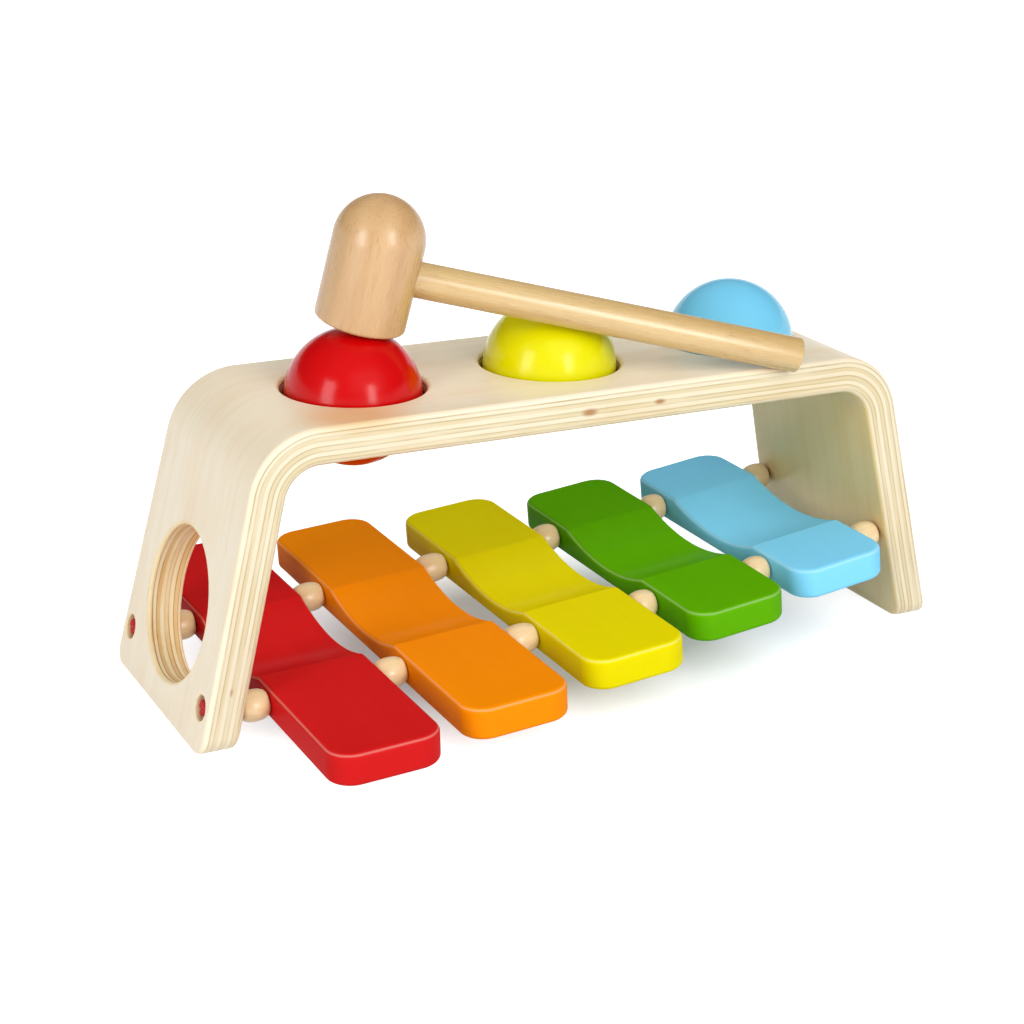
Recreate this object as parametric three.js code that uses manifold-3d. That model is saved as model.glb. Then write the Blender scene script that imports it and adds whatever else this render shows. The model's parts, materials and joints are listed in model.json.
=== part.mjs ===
import * as THREE from "three";
import { mergeVertices } from "three/addons/utils/BufferGeometryUtils.js";
import Module from "manifold-3d";

const wasm = await Module();
wasm.setup();

// Frame: one strip of plywood bent into a splayed and flaring arch, in millimetres and degrees
const frameHeight = 100;
const plyThickness = 12;
const legSplayDegrees = 13.5;
const bendRadius = 24;
const topWidth = 76;
const footWidth = 86;
const footCornerRadius = 6;
const arrisRadius = 2;

// Painted balls, the holes they are pounded through and the rubber rings that grip them
const ballDiameter = 45;
const ballRises = [18.8, 21.2, 21.1];
const ballPitch = 71.6;
const ballRowShift = 2.4;
const ballHoleClearance = 1.3;
const ballHoleRim = 1.4;
const ringThickness = 3;
const ringRunningGap = 0.35;

// Round exit in the left leg, measured up the leg's outer face from the floor
const exitDiameter = 50.5;
const exitRise = 35.7;
const exitRim = 1.2;

// Tone bars, longest first, each with a shallow scoop across the middle
const barWidth = 36.8;
const barThickness = 10.8;
const barLengths = [180, 167, 148.5, 127.5, 114];
const barCornerRadius = 7;
const barEdgeRadius = 1.6;
const scoopLength = 54;
const scoopDepth = 5;
const barBounce = 1.1;

// Two sagging cords that carry the bars, and the turned beads that keep the bars apart
const cordDiameter = 3;
const cordSpacing = 69.4;
const cordHeightLow = 11;
const cordHeightHigh = 32.6;
const cordSag = 3.3;
const beadDiameter = 10.3;
const beadLengths = [8.9, 9.7, 10.4, 8.3, 8.2, 8.8];
const beadFlatRim = 1.2;
const beadBoreClearance = 0.6;
const cordHoleClearance = 0.7;
const knotDiameter = 6.2;
const knotHoleDiameter = 8;
const knotHoleDepth = 6.5;
const legGap = 1.2;

// Mallet: a domed head on a plain round handle, laid over the red ball and the front edge
const headDiameter = 29.8;
const headFaceDrop = 17.6;
const headDomeRise = 25.1;
const headFaceRim = 1.2;
const handleDiameter = 11.8;
const handleReach = 146.8;
const handleSocketDepth = 8;
const handleEndRim = 0.9;
const malletYawDegrees = -16.9;
const malletRollDegrees = 5.2;
const faceOffsetAlong = -2.6;
const faceOffsetAcross = 6.4;

// Gap left between pieces that touch, and how far each cutter runs out past the wood it cuts
const restGap = 0.3;
const cutterRunOut = 3;

const colours = {
  ply: 0xe6d6bd,
  rubber: 0x2b2826,
  red: 0xd0121a,
  orange: 0xf28c14,
  yellow: 0xe2d304,
  green: 0x62ac08,
  blue: 0x85d0ee,
  cord: 0xb81a22,
  bead: 0xe6d0ae,
  beech: 0xe6c196,
};

const splay = THREE.MathUtils.degToRad(legSplayDegrees);
const axisX = new THREE.Vector3(1, 0, 0);
const axisZ = new THREE.Vector3(0, 0, 1);

// Closed body from a geometry, and back again
function solidOf(geometry) {
  const bare = geometry.clone();
  bare.deleteAttribute("normal");
  bare.deleteAttribute("uv");
  const welded = mergeVertices(bare, 1e-4);
  return new wasm.Manifold(
    new wasm.Mesh({
      numProp: 3,
      vertProperties: new Float32Array(welded.attributes.position.array),
      triVerts: new Uint32Array(welded.index.array),
    }),
  );
}

function geometryOf(solid) {
  const mesh = solid.getMesh();
  const geometry = new THREE.BufferGeometry();
  geometry.setAttribute("position", new THREE.BufferAttribute(new Float32Array(mesh.vertProperties), 3));
  geometry.setIndex(new THREE.BufferAttribute(new Uint32Array(mesh.triVerts), 1));
  geometry.computeVertexNormals();
  return geometry;
}

function cut(geometry, cutters) {
  let solid = solidOf(geometry);
  for (const cutter of cutters) {
    solid = solid.subtract(solidOf(cutter));
  }
  return geometryOf(solid);
}

// Piece turned about Z from a profile of [radius, height] pairs
function turned(profile, segments) {
  const points = profile.map(([radius, height]) => new THREE.Vector2(radius, height));
  const geometry = new THREE.LatheGeometry(points, segments);
  geometry.rotateX(Math.PI / 2);
  return geometry;
}

function arc(centreR, centreZ, radius, fromDegrees, toDegrees, steps) {
  const points = [];
  for (let k = 0; k <= steps; k += 1) {
    const angle = THREE.MathUtils.degToRad(fromDegrees + ((toDegrees - fromDegrees) * k) / steps);
    points.push([centreR + radius * Math.cos(angle), centreZ + radius * Math.sin(angle)]);
  }
  return points;
}

function aimed(geometry, origin, direction) {
  const turn = new THREE.Quaternion().setFromUnitVectors(axisZ, direction);
  const matrix = new THREE.Matrix4().compose(origin, turn, new THREE.Vector3(1, 1, 1));
  return geometry.applyMatrix4(matrix);
}

function node(name, geometry, colour, roughness) {
  const material = new THREE.MeshStandardMaterial({ color: colour, roughness, metalness: 0 });
  const mesh = new THREE.Mesh(geometry, material);
  mesh.name = name;
  return mesh;
}

// Row of bars and beads along the cords: its chord length sets the span between the legs
const barColours = ["red", "orange", "yellow", "green", "blue"];
const barCount = barColours.length;
const beadsLong = beadLengths.reduce((sum, length) => sum + length, 0);
const chordLength = barCount * barWidth + beadsLong + 2 * barCount * restGap + 2 * legGap;
const chordRise = Math.asin((cordHeightHigh - cordHeightLow) / chordLength);
const innerFoot =
  (chordLength * Math.cos(chordRise) + (cordHeightLow + cordHeightHigh) * Math.tan(splay)) / 2;
const legRun = plyThickness / Math.cos(splay);
const outerFoot = innerFoot + legRun;
const outerTop = outerFoot - frameHeight * Math.tan(splay);
const chordStart = new THREE.Vector3(cordHeightLow * Math.tan(splay) - innerFoot, 0, cordHeightLow);

function cordPoint(s, y) {
  const u = s / chordLength;
  const x = chordStart.x + s * Math.cos(chordRise);
  const z = chordStart.z + s * Math.sin(chordRise) - 4 * cordSag * u * (1 - u);
  return new THREE.Vector3(x, y, z);
}

function cordSlope(s) {
  const fall = (4 * cordSag * (1 - (2 * s) / chordLength)) / chordLength;
  return Math.atan((Math.sin(chordRise) - fall) / Math.cos(chordRise));
}

function onCord(geometry, s, y) {
  geometry.rotateY(-cordSlope(s));
  const point = cordPoint(s, y);
  return geometry.translate(point.x, point.y, point.z);
}

const barPlaces = [];
const beadPlaces = [];
let walked = legGap;
for (let k = 0; k <= barCount; k += 1) {
  beadPlaces.push(walked + beadLengths[k] / 2);
  walked += beadLengths[k] + restGap;
  if (k < barCount) {
    barPlaces.push(walked + barWidth / 2);
    walked += barWidth + restGap;
  }
}

// Frame strip: rounded sections run from the left foot over the top to the right foot
function roundedRing(outer, inner, halfWidthAt) {
  const thickness = outer.distanceTo(inner);
  const step = new THREE.Vector2().subVectors(outer, inner).divideScalar(thickness);
  const points = [];
  for (let corner = 0; corner < 4; corner += 1) {
    const outside = corner === 0 || corner === 3;
    const side = corner < 2 ? 1 : -1;
    for (let k = 0; k <= 3; k += 1) {
      const angle = (corner * Math.PI) / 2 + (k * Math.PI) / 6;
      const centre = outside ? thickness - arrisRadius : arrisRadius;
      const along = centre + arrisRadius * Math.cos(angle);
      const x = inner.x + step.x * along;
      const z = inner.y + step.y * along;
      const y = side * (halfWidthAt(z) - arrisRadius) + arrisRadius * Math.sin(angle);
      points.push(new THREE.Vector3(x, y, z));
    }
  }
  return points;
}

function halfWidthAt(z) {
  const flare = topWidth / 2 + (((footWidth - topWidth) / 2) * (frameHeight - z)) / frameHeight;
  const low = Math.max(0, footCornerRadius - z);
  return flare - footCornerRadius + Math.sqrt(footCornerRadius * footCornerRadius - low * low);
}

const bendCentreX = outerTop - bendRadius * Math.tan((Math.PI / 2 - splay) / 2);
const bendCentreZ = frameHeight - bendRadius;
const bendInner = bendRadius - plyThickness;

const halfStations = [];
for (let k = 0; k <= 4; k += 1) {
  const z = footCornerRadius * (1 - Math.cos((k * Math.PI) / 8));
  const x = outerFoot - z * Math.tan(splay);
  halfStations.push([new THREE.Vector2(x, z), new THREE.Vector2(x - legRun, z)]);
}
for (let k = 0; k <= 8; k += 1) {
  const angle = splay + ((Math.PI / 2 - splay) * k) / 8;
  const ray = new THREE.Vector2(Math.cos(angle), Math.sin(angle));
  const centre = new THREE.Vector2(bendCentreX, bendCentreZ);
  halfStations.push([
    centre.clone().addScaledVector(ray, bendRadius),
    centre.clone().addScaledVector(ray, bendInner),
  ]);
}

function loftStrip() {
  const rings = halfStations.map(([outer, inner]) => roundedRing(outer, inner, halfWidthAt));
  const mirrored = rings.map((ring) => ring.map((p) => new THREE.Vector3(-p.x, p.y, p.z)));
  const all = [...mirrored, ...rings.reverse()];
  const size = all[0].length;
  const positions = all.flat().flatMap((p) => [p.x, p.y, p.z]);
  const index = [];
  for (let r = 0; r + 1 < all.length; r += 1) {
    for (let k = 0; k < size; k += 1) {
      const a = r * size + k;
      const b = r * size + ((k + 1) % size);
      index.push(a, a + size, b, b, a + size, b + size);
    }
  }
  const last = (all.length - 1) * size;
  for (let k = 1; k + 1 < size; k += 1) {
    index.push(0, k, k + 1);
    index.push(last, last + k + 1, last + k);
  }
  const geometry = new THREE.BufferGeometry();
  geometry.setAttribute("position", new THREE.BufferAttribute(new Float32Array(positions), 3));
  geometry.setIndex(index);
  return geometry;
}

// Cutter for a round hole with softened rims, from z = 0 down to z = -depth
function holeCutter(radius, depth, rim, segments, wall) {
  const bottom = arc(radius + rim, -depth + rim, rim, 270, 180, 2);
  const top = arc(radius + rim, -rim, rim, 180, 90, 2);
  const profile = [
    [0, -depth - cutterRunOut],
    [radius + rim, -depth - cutterRunOut],
    ...bottom,
    ...wall,
    ...top,
    [radius + rim, cutterRunOut],
    [0, cutterRunOut],
  ];
  return turned(profile, segments);
}

// Balls sit in holes through the plate; a groove at half thickness holds each ring
const ballRadius = ballDiameter / 2;
const ballHoleRadius = ballRadius + ballHoleClearance;
const ballHeights = ballRises.map((rise) => frameHeight + rise - ballRadius);
const ringBore = ballRadius + ringRunningGap;
const ringHeight = frameHeight - plyThickness / 2;
const grooveRadius = ringBore + ringThickness + restGap;
const grooveHalf = ringThickness / 2 + restGap;
const ballColours = ["red", "yellow", "blue"];
const ballPlaces = ballColours.map((colour, k) => ballRowShift + (k - 1) * ballPitch);

const cutters = ballPlaces.map((x) => {
  const groove = [
    [ballHoleRadius, -plyThickness / 2 - grooveHalf],
    [grooveRadius, -plyThickness / 2 - grooveHalf],
    [grooveRadius, -plyThickness / 2 + grooveHalf],
    [ballHoleRadius, -plyThickness / 2 + grooveHalf],
  ];
  const cutter = holeCutter(ballHoleRadius, plyThickness, ballHoleRim, 36, groove);
  return cutter.translate(x, 0, frameHeight);
});

// Exit hole and cord holes are bored square to the sloping legs
const legOut = {
  left: new THREE.Vector3(-Math.cos(splay), 0, Math.sin(splay)),
  right: new THREE.Vector3(Math.cos(splay), 0, Math.sin(splay)),
};
const exitMouth = new THREE.Vector3(exitRise * Math.sin(splay) - outerFoot, 0, exitRise * Math.cos(splay));
cutters.push(aimed(holeCutter(exitDiameter / 2, plyThickness, exitRim, 36, []), exitMouth, legOut.left));

const cordHoleRadius = cordDiameter / 2 + cordHoleClearance;
const cordSides = { front: -cordSpacing / 2, back: cordSpacing / 2 };
const cordMouths = { left: cordPoint(0, 0), right: cordPoint(chordLength, 0) };
for (const y of Object.values(cordSides)) {
  for (const end of ["left", "right"]) {
    const mouth = cordMouths[end].clone().addScaledVector(legOut[end], plyThickness);
    mouth.y = y;
    const profile = [
      [0, -plyThickness - cutterRunOut],
      [cordHoleRadius, -plyThickness - cutterRunOut],
      [cordHoleRadius, -knotHoleDepth],
      [knotHoleDiameter / 2, -knotHoleDepth],
      [knotHoleDiameter / 2, cutterRunOut],
      [0, cutterRunOut],
    ];
    cutters.push(aimed(turned(profile, 12), mouth, legOut[end]));
  }
}

const group = new THREE.Group();
group.name = "xylophone_pounding_bench";
group.add(node("frame", cut(loftStrip(), cutters), colours.ply, 0.55));

// Balls and grip rings
ballColours.forEach((colour, k) => {
  const sphere = turned([[0, -ballRadius], ...arc(0, 0, ballRadius, -78, 78, 10), [0, ballRadius]], 26);
  const ball = node(`ball_${colour}`, sphere, colours[colour], 0.12);
  ball.position.set(ballPlaces[k], 0, ballHeights[k]);
  group.add(ball);

  const section = arc(ringBore + ringThickness / 2, 0, ringThickness / 2, 0, 360, 8);
  const ring = node(`grip_ring_${colour}`, turned(section, 24), colours.rubber, 0.8);
  ring.position.set(ballPlaces[k], 0, ringHeight);
  group.add(ring);
});

// Tone bars: plan outline with softened edges, a scoop across the top and two cord holes
function barGeometry(length) {
  const halfX = barWidth / 2 - barEdgeRadius;
  const halfY = length / 2 - barEdgeRadius;
  const corner = barCornerRadius - barEdgeRadius;
  const outline = new THREE.Shape();
  outline.moveTo(halfX, -halfY + corner);
  outline.lineTo(halfX, halfY - corner);
  outline.absarc(halfX - corner, halfY - corner, corner, 0, Math.PI / 2);
  outline.absarc(-halfX + corner, halfY - corner, corner, Math.PI / 2, Math.PI);
  outline.absarc(-halfX + corner, -halfY + corner, corner, Math.PI, 1.5 * Math.PI);
  outline.absarc(halfX - corner, -halfY + corner, corner, 1.5 * Math.PI, 2 * Math.PI);
  const block = new THREE.ExtrudeGeometry(outline, {
    depth: barThickness - 2 * barEdgeRadius,
    bevelThickness: barEdgeRadius,
    bevelSize: barEdgeRadius,
    bevelSegments: 2,
    curveSegments: 3,
  });
  block.translate(0, 0, barEdgeRadius - barThickness / 2);

  const through = barWidth + 2 * cutterRunOut;
  const half = scoopLength / 2;
  const scoopRadius = (half * half + scoopDepth * scoopDepth) / (2 * scoopDepth);
  const scoop = new THREE.CylinderGeometry(scoopRadius, scoopRadius, through, 72);
  scoop.rotateZ(Math.PI / 2);
  scoop.translate(0, 0, barThickness / 2 - scoopDepth + scoopRadius);

  const boreRadius = cordDiameter / 2 + barBounce + restGap;
  const bores = Object.values(cordSides).map((y) => {
    const bore = new THREE.CylinderGeometry(boreRadius, boreRadius, through, 10);
    bore.rotateZ(Math.PI / 2);
    return bore.translate(0, y, 0);
  });
  return cut(block, [scoop, ...bores]);
}

barColours.forEach((colour, k) => {
  const geometry = onCord(barGeometry(barLengths[k]), barPlaces[k], 0);
  group.add(node(`bar_${colour}`, geometry, colours[colour], 0.38));
});

// Beads: short turned barrels, bored to spin on the cord
function beadGeometry(length) {
  const bore = cordDiameter / 2 + beadBoreClearance;
  const half = length / 2;
  const flat = bore + beadFlatRim;
  const swell = beadDiameter / 2 - flat;
  const profile = [[bore, -half]];
  for (let k = 0; k <= 6; k += 1) {
    const angle = ((k - 3) * Math.PI) / 6;
    profile.push([flat + swell * Math.cos(angle), half * Math.sin(angle)]);
  }
  profile.push([bore, half], [bore, -half]);
  const bead = turned(profile, 12);
  bead.rotateY(Math.PI / 2);
  return bead;
}

for (const [side, y] of Object.entries(cordSides)) {
  beadPlaces.forEach((s, k) => {
    const geometry = onCord(beadGeometry(beadLengths[k]), s, y);
    group.add(node(`bead_${side}_${k + 1}`, geometry, colours.bead, 0.5));
  });
}

// Cords: through both legs, all bars and all beads, stopped by a knot sunk in each leg
function cordGeometry(y) {
  const sunk = plyThickness - knotHoleDepth + knotDiameter / 2 + restGap;
  const ends = ["left", "right"].map((end) => {
    const point = cordMouths[end].clone().addScaledVector(legOut[end], sunk);
    point.y = y;
    return point;
  });
  const points = [ends[0]];
  for (let k = 0; k <= 12; k += 1) {
    points.push(cordPoint((chordLength * k) / 12, y));
  }
  points.push(ends[1]);
  const round = new THREE.Shape();
  round.absarc(0, 0, cordDiameter / 2, 0, 2 * Math.PI);
  const rope = new THREE.ExtrudeGeometry(round, {
    steps: 36,
    curveSegments: 4,
    bevelEnabled: false,
    extrudePath: new THREE.CatmullRomCurve3(points, false, "centripetal"),
  });
  let solid = solidOf(rope);
  ends.forEach((point, k) => {
    const knot = new THREE.SphereGeometry(knotDiameter / 2, 10, 7);
    aimed(knot, point, legOut[k === 0 ? "left" : "right"]);
    solid = solid.add(solidOf(knot));
  });
  return geometryOf(solid);
}

for (const [side, y] of Object.entries(cordSides)) {
  group.add(node(`cord_${side}`, cordGeometry(y), colours.cord, 0.7));
}

// Mallet axes for a given droop: along the handle, across it, and up the head
function malletAxes(droop) {
  const turn = new THREE.Matrix4().makeRotationZ(THREE.MathUtils.degToRad(malletYawDegrees));
  turn.multiply(new THREE.Matrix4().makeRotationY(droop));
  turn.multiply(new THREE.Matrix4().makeRotationX(THREE.MathUtils.degToRad(malletRollDegrees)));
  const along = new THREE.Vector3();
  const across = new THREE.Vector3();
  const up = new THREE.Vector3();
  turn.extractBasis(along, across, up);
  return { along, across, up, turn };
}

// Where handle and head axes cross, with the face resting on the red ball
function malletCross(axes) {
  return new THREE.Vector3(ballPlaces[0], 0, ballHeights[0])
    .addScaledVector(axes.up, ballRadius + restGap + headFaceDrop)
    .addScaledVector(axes.along, faceOffsetAlong)
    .addScaledVector(axes.across, faceOffsetAcross);
}

// Clear height of the handle over the rounded front edge of the plate
function handleClearance(droop) {
  const axes = malletAxes(droop);
  const cross = malletCross(axes);
  const edge = new THREE.Vector3(0, arrisRadius - topWidth / 2, frameHeight - arrisRadius);
  const normal = new THREE.Vector3().crossVectors(axes.along, axisX).normalize();
  const distance = Math.abs(new THREE.Vector3().subVectors(cross, edge).dot(normal));
  return distance - handleDiameter / 2 - arrisRadius;
}

let droopLow = 0;
let droopHigh = THREE.MathUtils.degToRad(20);
for (let k = 0; k < 40; k += 1) {
  const middle = (droopLow + droopHigh) / 2;
  if (handleClearance(middle) > restGap) {
    droopLow = middle;
  } else {
    droopHigh = middle;
  }
}

const malletPose = malletAxes(droopLow);
const mallet = new THREE.Group();
mallet.name = "mallet";
mallet.applyMatrix4(malletPose.turn);
mallet.position.copy(malletCross(malletPose));
group.add(mallet);

const headRadius = headDiameter / 2;
const shoulder = headDomeRise - headRadius;
const headProfile = [
  [0, -headFaceDrop],
  ...arc(headRadius - headFaceRim, -headFaceDrop + headFaceRim, headFaceRim, -90, 0, 3),
  ...arc(0, shoulder, headRadius, 0, 81, 9),
  [0, headDomeRise],
];
const socket = aimed(
  turned(
    [
      [0, -handleSocketDepth - restGap],
      [handleDiameter / 2 + restGap, -handleSocketDepth - restGap],
      [handleDiameter / 2 + restGap, headDiameter],
      [0, headDiameter],
    ],
    24,
  ),
  new THREE.Vector3(),
  axisX,
);
mallet.add(node("mallet_head", cut(turned(headProfile, 28), [socket]), colours.beech, 0.5));

const handleRadius = handleDiameter / 2;
const handleProfile = [
  [0, -handleSocketDepth],
  [handleRadius, -handleSocketDepth],
  ...arc(handleRadius - handleEndRim, handleReach - handleEndRim, handleEndRim, 0, 90, 3),
  [0, handleReach],
];
const handle = aimed(turned(handleProfile, 24), new THREE.Vector3(), axisX);
mallet.add(node("mallet_handle", handle, colours.beech, 0.5));

export default group;
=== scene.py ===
# %% [markdown]
# This lesson dresses a wooden toy, a pounding bench with a xylophone under it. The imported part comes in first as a
# fixed frame, in metres with Z up. Every shape made below takes its size and place from that frame, so that nothing
# has to be fitted by eye, and each piece rides on the body that moves it.

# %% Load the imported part
import json
import math

import bmesh
import bpy
import numpy as np
from mathutils import Matrix, Vector


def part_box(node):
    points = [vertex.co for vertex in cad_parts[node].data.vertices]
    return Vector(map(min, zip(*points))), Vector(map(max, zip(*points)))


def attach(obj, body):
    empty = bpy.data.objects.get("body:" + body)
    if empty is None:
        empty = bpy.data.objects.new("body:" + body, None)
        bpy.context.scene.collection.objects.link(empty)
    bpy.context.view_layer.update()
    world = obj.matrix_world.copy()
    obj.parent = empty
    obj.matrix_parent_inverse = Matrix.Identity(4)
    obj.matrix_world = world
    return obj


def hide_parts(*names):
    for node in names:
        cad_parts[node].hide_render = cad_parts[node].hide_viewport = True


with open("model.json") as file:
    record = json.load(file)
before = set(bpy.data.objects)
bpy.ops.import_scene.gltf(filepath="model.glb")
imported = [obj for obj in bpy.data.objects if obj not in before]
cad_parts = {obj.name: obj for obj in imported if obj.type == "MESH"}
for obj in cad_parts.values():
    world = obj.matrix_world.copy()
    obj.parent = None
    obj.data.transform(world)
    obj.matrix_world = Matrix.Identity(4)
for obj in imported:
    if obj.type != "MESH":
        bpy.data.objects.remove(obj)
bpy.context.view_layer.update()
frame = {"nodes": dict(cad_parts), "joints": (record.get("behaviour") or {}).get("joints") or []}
joints = {joint["name"]: joint for joint in frame["joints"]}
MM = 0.001

# %% [markdown]
# A few small helpers serve all pieces. A turned piece is a profile spun about its own Z axis. Its mesh could come
# from a Screw modifier, but writing the rings ourselves keeps the poles clean. A round corner in a profile is a short
# arc. A finished mesh becomes an object with smooth shading that stays crisp at real corners, and a matrix aims it.

# %% Helpers for meshes
CREASE = math.radians(34)
ON_AXIS = 1e-9


def object_from(name, bm, matrix=Matrix.Identity(4)):
    bmesh.ops.recalc_face_normals(bm, faces=bm.faces)
    mesh = bpy.data.meshes.new(name)
    bm.to_mesh(mesh)
    bm.free()
    piece = bpy.data.objects.new(name, mesh)
    bpy.context.scene.collection.objects.link(piece)
    piece.matrix_world = matrix
    mesh.shade_smooth()
    mesh.set_sharp_from_angle(angle=CREASE)
    return piece


def arc(centre_r, centre_z, radius, start, stop, steps):
    """Points of a rounded corner, angles in degrees."""
    angles = [math.radians(start + (stop - start) * k / steps) for k in range(steps + 1)]
    return [(centre_r + radius * math.cos(a), centre_z + radius * math.sin(a)) for a in angles]


def bridge(bm, low, high):
    """Faces between two rings of points; a ring of one point is a pole."""
    count = max(len(low), len(high))
    for k in range(count):
        n = (k + 1) % count
        corners = [low[k % len(low)], low[n % len(low)], high[n % len(high)], high[k % len(high)]]
        bm.faces.new(list(dict.fromkeys(corners)))


def turned_mesh(profile, segments, closed=False):
    """Spin (radius, height) points about Z; a point on the axis becomes a pole."""
    bm = bmesh.new()
    angles = [2 * math.pi * k / segments for k in range(segments)]
    rings = []
    for radius, height in profile:
        around = angles if radius > ON_AXIS else [0.0]
        rings.append([bm.verts.new((radius * math.cos(a), radius * math.sin(a), height)) for a in around])
    pairs = list(zip(rings, rings[1:]))
    if closed:
        pairs.append((rings[-1], rings[0]))
    for low, high in pairs:
        bridge(bm, low, high)
    return bm


def aimed(origin, direction):
    """Matrix that puts a piece's Z axis along a direction."""
    turn = Vector((0, 0, 1)).rotation_difference(Vector(direction)).to_matrix().to_4x4()
    return Matrix.Translation(origin) @ turn


print("corners stay crisp over", round(math.degrees(CREASE)), "degrees")

# %% [markdown]
# Finishes are node materials. A colour is written as the paint looks, in the usual 0 to 255 numbers, and turned into
# the linear light that a shader works in. One helper adds a node and feeds each of its inputs, either from another
# node or with a constant. That keeps a recipe short enough to read as a recipe.

# %% Helpers for node trees
BLACK = [0, 0, 0, 1]
WHITE = [1, 1, 1, 1]


def linear(red, green, blue):
    values = [v / 255 for v in (red, green, blue)]
    return [v / 12.92 if v <= 0.04045 else ((v + 0.055) / 1.055) ** 2.4 for v in values] + [1.0]


def finish_tree(name):
    material = bpy.data.materials.new(name)
    material.use_nodes = True
    return material, material.node_tree, material.node_tree.nodes["Principled BSDF"]


def feed(tree, target, inputs):
    """Link each named input of a node to a socket, or set it to a constant."""
    for key, value in inputs.items():
        if isinstance(value, bpy.types.NodeSocket):
            tree.links.new(value, target.inputs[key])
        else:
            target.inputs[key].default_value = value


def node(tree, kind, inputs=None, **settings):
    made = tree.nodes.new(kind)
    for key, value in settings.items():
        setattr(made, key, value)
    feed(tree, made, inputs or {})
    return made


print("paint that looks mid grey is", round(linear(128, 128, 128)[0], 3), "in linear light")

# %% [markdown]
# Wood and paint are never one flat colour. Their patterns come from a handful of building blocks: noise drawn out
# along the grain, a colour ramp, a mix of two colours, numbers moved to another range, and a bump. Each is one node
# or two, wrapped so that it takes plain values.

# %% Helpers for patterns
def ramp(tree, source, stops):
    """Colour ramp from (position, colour) stops."""
    made = node(tree, "ShaderNodeValToRGB", {"Fac": source})
    elements = made.color_ramp.elements
    while len(elements) < len(stops):
        elements.new(0.5)
    for element, (position, colour) in zip(elements, stops):
        element.position = position
        element.color = colour
    return made.outputs["Color"]


def stretched_noise(tree, coordinates, scale, detail=4.0, roughness=0.55):
    """Noise whose cells are drawn out along the grain: scale is cells per metre on X, Y and Z."""
    moved = node(tree, "ShaderNodeMapping", {"Vector": coordinates, "Scale": scale}).outputs["Vector"]
    inputs = {"Vector": moved, "Scale": 1.0, "Detail": detail, "Roughness": roughness}
    return node(tree, "ShaderNodeTexNoise", inputs).outputs["Fac"]


def mixed(tree, factor, first, second, blend="MIX"):
    """Mix of two colours; inputs 6 and 7 and output 2 are the node's colour sockets."""
    inputs = {0: factor, 6: first, 7: second}
    return node(tree, "ShaderNodeMix", inputs, data_type="RGBA", blend_type=blend).outputs[2]


def spread(tree, source, low, high):
    """Zero to one, moved to run from low to high."""
    inputs = {"Value": source, "To Min": low, "To Max": high}
    return node(tree, "ShaderNodeMapRange", inputs).outputs["Result"]


def soft_step(tree, source, low, high):
    """Zero at low, one at high, with soft ends."""
    inputs = {"Value": source, "From Min": low, "From Max": high}
    return node(tree, "ShaderNodeMapRange", inputs, interpolation_type="SMOOTHSTEP").outputs["Result"]


def calculated(tree, operation, first, second):
    return node(tree, "ShaderNodeMath", {0: first, 1: second}, operation=operation).outputs[0]


def scaled(tree, source, factor):
    return calculated(tree, "MULTIPLY", source, factor)


def bump(tree, source, depth, strength):
    inputs = {"Height": source, "Distance": depth, "Strength": strength}
    return node(tree, "ShaderNodeBump", inputs).outputs["Normal"]


def object_place(tree):
    """Coordinates in the piece's own axes, so that a pattern moves with the piece."""
    return node(tree, "ShaderNodeTexCoord").outputs["Object"]


print("pattern helpers: noise, ramp, mix, spread, soft step, bump")

# %% [markdown]
# The camera stands where the photograph was taken: in front of the bench's left end and a little above it, with the
# long side running away to the right. Its place and directions were worked out from the toy's own straight lines, so
# they are written here as measured values. The picture is square and the lens is a short telephoto.

# %% Camera
camera_place = Vector((-322.4, -591.4, 293.8)) * MM
camera_right = Vector((0.88802, -0.45930, 0.02201))
camera_up = Vector((0.14042, 0.31645, 0.93817))
camera_back = camera_right.cross(camera_up)
camera = bpy.data.objects.new("camera", bpy.data.cameras.new("camera"))
camera.data.sensor_width = 36
camera.data.lens = 73.18
columns = Matrix((camera_right, camera_up, camera_back)).transposed().to_4x4()
camera.matrix_world = Matrix.Translation(camera_place) @ columns
bpy.context.scene.collection.objects.link(camera)
bpy.context.scene.camera = camera
bpy.context.scene.view_settings.view_transform = "Standard"
print("camera distance in mm:", round(camera_place.length / MM))

# %% [markdown]
# The bench is one strip of plywood bent hot over a form: flat top, two tight bends, legs that splay out and flare
# wider to the feet. It could be a plane with Solidify and Bevel modifiers, but the bores have to meet the sloping legs
# squarely and the layers have to follow the bend. So the strip is lofted from rounded sections along its own path.

# %% Sizes of the bent strip
outer_foot, _, bench_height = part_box("frame")[1]
ply = 12 * MM
splay = math.radians(13.5)
bend_outer = 24 * MM
top_half = 38 * MM
foot_half = 43 * MM
foot_corner = 6 * MM
arris = 2 * MM
foot_edge = 0.7 * MM
outer_top = outer_foot - bench_height * math.tan(splay)
bend_centre = Vector((outer_top - bend_outer * math.tan((math.pi / 2 - splay) / 2), bench_height - bend_outer))
leg_run = ply / math.cos(splay)
bend_sweep = math.pi / 2 - splay
mid_radius = bend_outer - ply / 2
leg_length = (bend_centre.y + mid_radius * math.sin(splay)) / math.cos(splay)
flat_length = 2 * (bend_centre.x + mid_radius * bend_sweep + leg_length)
print("flat top in mm:", round(2 * bend_centre.x / MM, 1), "strip laid flat in mm:", round(flat_length / MM, 1))

# %% [markdown]
# A section of the strip is a flat rectangle with four rounded corners. Sections stand close together where the shape
# turns, at the foot and in the bend, and far apart on the straight leg. The left half mirrors the right one.

# %% Sections and mesh of the strip
arris_steps = 6
edge_steps = 4
foot_steps = 8
leg_steps = 6
bend_steps = 24
top_stations = (-0.66, -0.33, 0, 0.33, 0.66)


def half_width(z):
    flare = top_half + (foot_half - top_half) * (bench_height - z) / bench_height
    low = max(0.0, foot_corner - z)
    return flare - foot_corner + math.sqrt(foot_corner ** 2 - low ** 2)


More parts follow.
